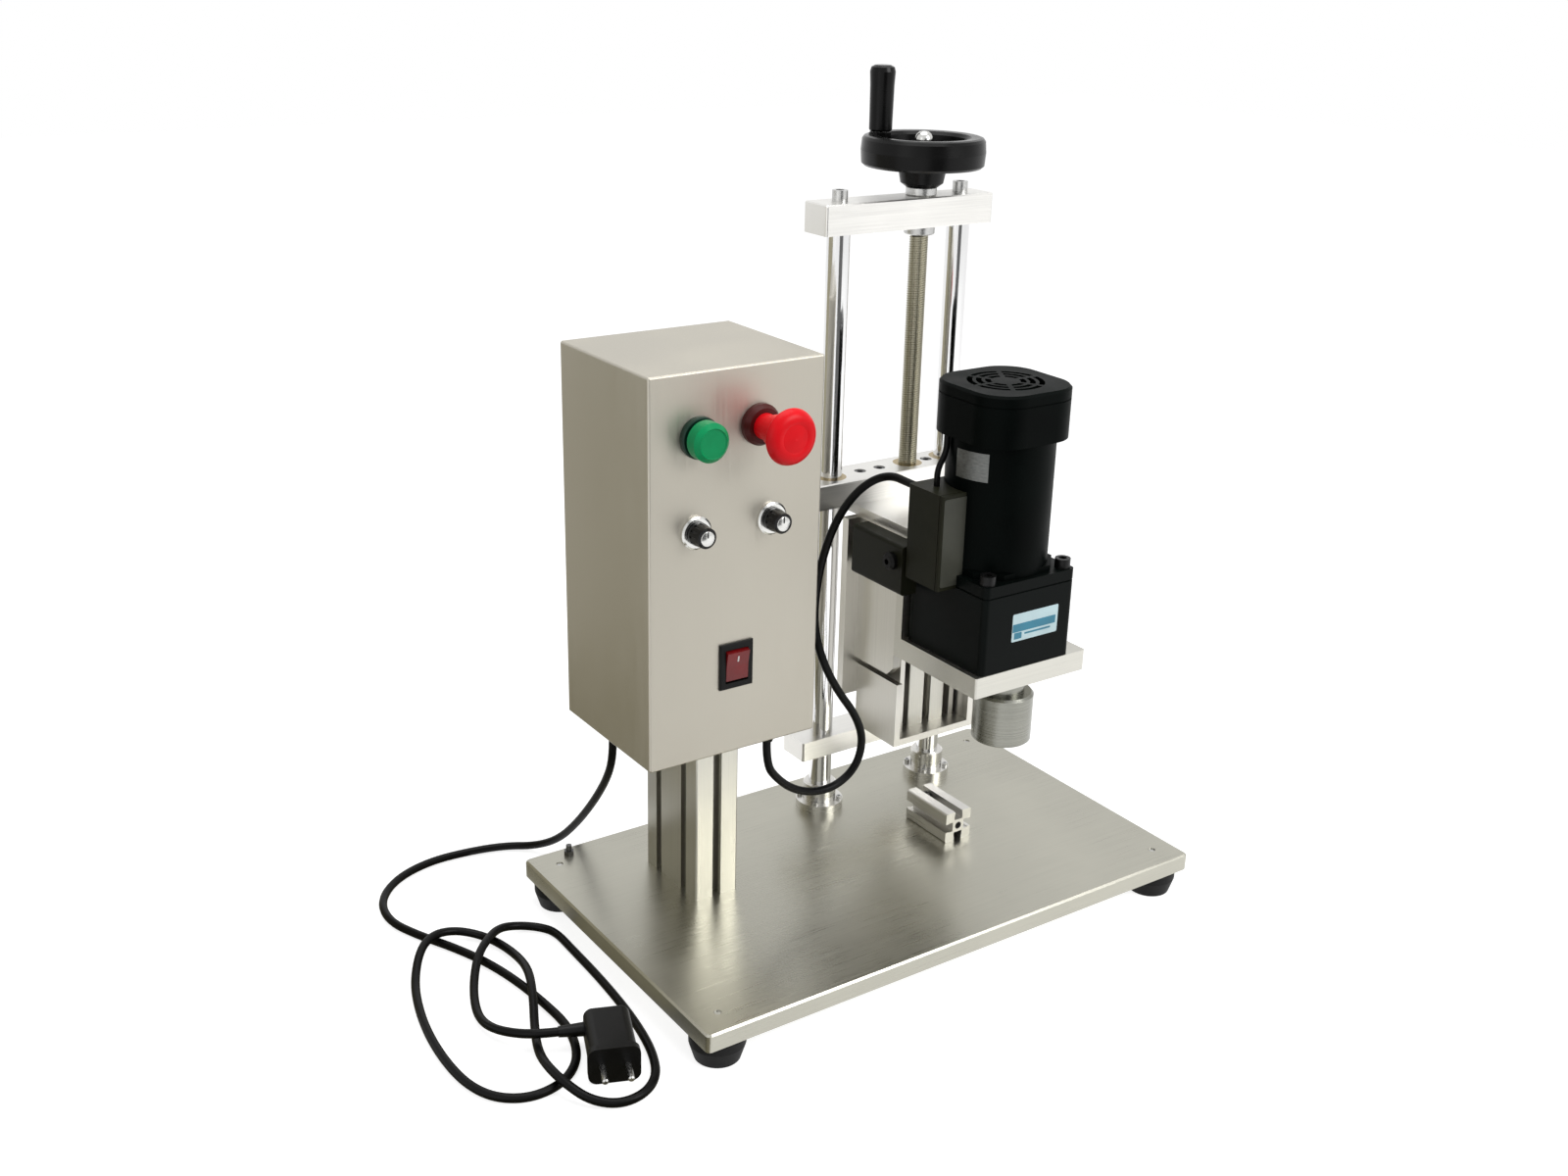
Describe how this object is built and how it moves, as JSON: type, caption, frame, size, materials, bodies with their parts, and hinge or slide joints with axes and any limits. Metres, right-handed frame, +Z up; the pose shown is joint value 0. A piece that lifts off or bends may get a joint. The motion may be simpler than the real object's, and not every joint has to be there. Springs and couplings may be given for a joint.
{
  "type": "benchtop capping machine",
  "caption": "Benchtop screw capping machine: geared motor and chuck on a carriage that a handwheel and lead screw move on two guide rods, with a control box on a slotted post.",
  "frame": {"origin": "on the table under the middle of the base plate", "axes": "+Z up, the control panel and the chuck face -Y, +X to the right seen from the front"},
  "size_m": [0.658, 0.3967, 0.6886],
  "materials": {
    "brushed_plate": "satin",
    "extrusion": "satin",
    "steel_sheet": "brushed",
    "machined": "machined",
    "chrome_rod": "polished",
    "steel": "satin",
    "bronze": "satin",
    "black_paint": "satin",
    "black_plastic": "matte",
    "green_plastic": "gloss",
    "red_plastic": "gloss",
    "rubber": "matte",
    "cord": "satin"
  },
  "bodies": {
    "frame": {"base_plate": "brushed_plate", "rubber_feet": "rubber", "foot_screws": "steel", "post_extrusion": "extrusion", "post_bolts": "steel", "guide_rods": "chrome_rod", "rod_collars": "machined", "collar_screws": "steel", "head_bar": "machined", "head_bolts": "steel", "cross_bar": "machined", "screw_bushes": "bronze", "bottle_stop": "extrusion", "deck_fasteners": "steel", "control_box": "steel_sheet", "control_box_back": "steel_sheet", "mains_gland": "black_plastic", "cable_gland": "black_plastic", "button_bezel": "green_plastic", "stop_base": "black_plastic", "speed_pots": "chrome_rod", "rocker_frame": "black_plastic", "mains_cord": "cord", "mains_plug": "black_plastic", "plug_pins": "steel"},
    "green_button": {"button_cap": "green_plastic"},
    "stop_plunger": {"stop_stem": "red_plastic"},
    "stop_mushroom": {"stop_head": "red_plastic"},
    "left_knob": {"knob_left": "black_plastic"},
    "right_knob": {"knob_right": "black_plastic"},
    "rocker": {"rocker_switch": "red_plastic"},
    "screw": {"lead_screw": "bronze", "screw_collars": "steel", "handwheel": "black_paint", "wheel_nut": "steel", "crank_pin": "steel"},
    "grip": {"crank_grip": "black_plastic"},
    "carriage": {"upper_block": "machined", "carriage_screws": "steel", "rod_bushes": "bronze", "lead_nut": "bronze", "arm_plate": "machined", "back_plate": "machined", "cheek_plates": "machined", "slide_column": "extrusion", "guide_strips": "machined", "guide_box": "machined", "motor_bracket": "machined", "gearhead": "black_paint", "gear_bolts": "steel", "motor_body": "black_paint", "fan_cowl": "black_paint", "terminal_box": "black_paint", "capacitor_box": "black_paint", "capacitor_gland": "black_plastic", "motor_lead": "cord", "motor_cable": "cord"},
    "chuck": {"output_shaft": "steel", "chuck_body": "steel", "chuck_liner": "rubber"}
  },
  "joints": [
    {"name": "button_press", "type": "slide", "parent": "frame", "child": "green_button", "axis": [0, 1, 0], "range_m": [0, 0.003], "stiffness_N_per_m": 900, "springref_m": -0.002},
    {"name": "stop_press", "type": "slide", "parent": "frame", "child": "stop_plunger", "axis": [0, 1, 0], "range_m": [0, 0.004]},
    {"name": "stop_twist", "type": "hinge", "parent": "stop_plunger", "child": "stop_mushroom", "pos_m": [-0.123, -0.012, 0.448], "axis": [0, 1, 0], "range_deg": [0, 45]},
    {"name": "left_knob_turn", "type": "hinge", "parent": "frame", "child": "left_knob", "pos_m": [-0.178, -0.012, 0.372], "axis": [0, 1, 0], "range_deg": [-150, 150]},
    {"name": "right_knob_turn", "type": "hinge", "parent": "frame", "child": "right_knob", "pos_m": [-0.1105, -0.012, 0.372], "axis": [0, 1, 0], "range_deg": [-150, 150]},
    {"name": "rocker_tip", "type": "hinge", "parent": "frame", "child": "rocker", "pos_m": [-0.141, -0.009, 0.257], "axis": [-1, 0, 0], "range_deg": [0, 9]},
    {"name": "screw_turn", "type": "hinge", "parent": "frame", "child": "screw", "pos_m": [0.109, 0.098, 0.562], "axis": [0, 0, 1], "range_deg": [-16201, 4951]},
    {"name": "grip_spin", "type": "hinge", "parent": "screw", "child": "grip", "pos_m": [0.09279, 0.1362, 0.637], "axis": [0, 0, 1], "continuous": true},
    {"name": "carriage_lift", "type": "slide", "parent": "frame", "child": "carriage", "axis": [0, 0, 1], "range_m": [-0.055, 0.18], "deforming": ["motor_cable"]},
    {"name": "chuck_spin", "type": "hinge", "parent": "carriage", "child": "chuck", "pos_m": [0.089, -0.07, 0.187], "axis": [0, 0, 1], "continuous": true}
  ],
  "couplings": [
    {"joint": "screw_turn", "follows": "carriage_lift", "rad_per_m": -1570.8}
  ]
}
